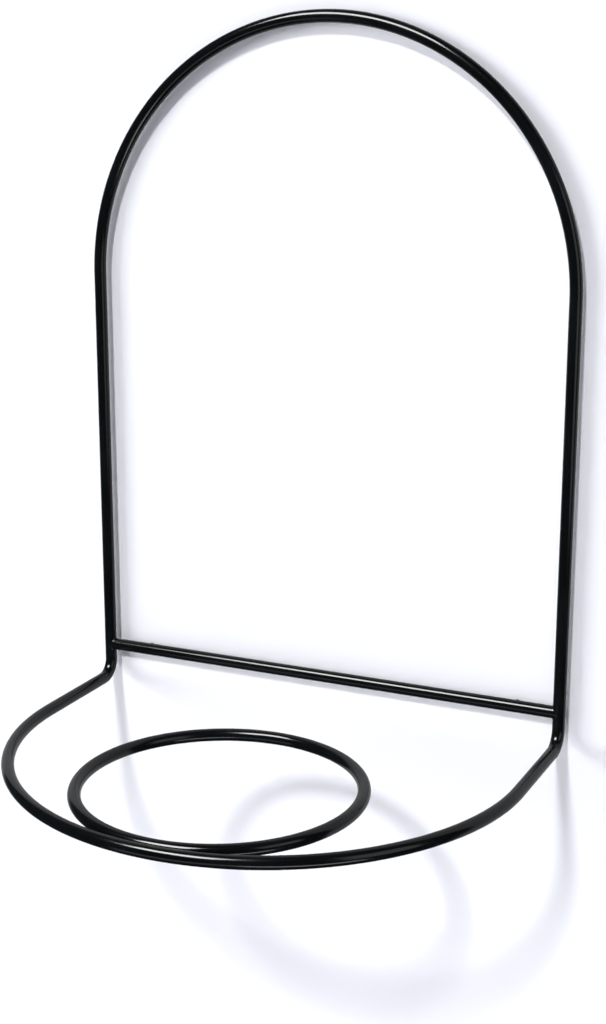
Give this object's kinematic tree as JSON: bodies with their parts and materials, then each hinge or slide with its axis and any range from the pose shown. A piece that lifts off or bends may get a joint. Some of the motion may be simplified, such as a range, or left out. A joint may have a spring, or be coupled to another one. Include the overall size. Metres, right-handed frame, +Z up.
{
  "type": "bicycle wall rack",
  "caption": "Wall rack bent and welded from round black rod: an arched back frame with a half-round shelf loop, a crossbar and a support ring, held off the wall on hidden pins.",
  "frame": {"origin": "on the wall's surface, at the axis of the top wall pin, which is level with the centreline of the arch's crown", "axes": "+Z up, +Y into the wall, +X to the right of someone who faces the wall; the shelf loop reaches out along -Y"},
  "size_m": [0.5, 0.42, 0.677],
  "materials": {
    "black_enamel": "glossy black powder enamel over steel rod",
    "zinc_steel": "bright zinc plate",
    "dark_steel": "blackened steel",
    "grey_nylon": "moulded grey nylon"
  },
  "bodies": {
    "root": {"back_frame_rod": "black_enamel", "front_loop_rod": "black_enamel", "crossbar": "black_enamel", "support_ring": "black_enamel", "top_standoff": "black_enamel", "lower_left_standoff": "black_enamel", "lower_right_standoff": "black_enamel", "top_wall_pin": "zinc_steel", "lower_left_wall_pin": "zinc_steel", "lower_right_wall_pin": "zinc_steel", "top_grub_screw": "dark_steel", "lower_left_grub_screw": "dark_steel", "lower_right_grub_screw": "dark_steel", "top_wall_plug": "grey_nylon", "lower_left_wall_plug": "grey_nylon", "lower_right_wall_plug": "grey_nylon"}
  },
  "joints": []
}
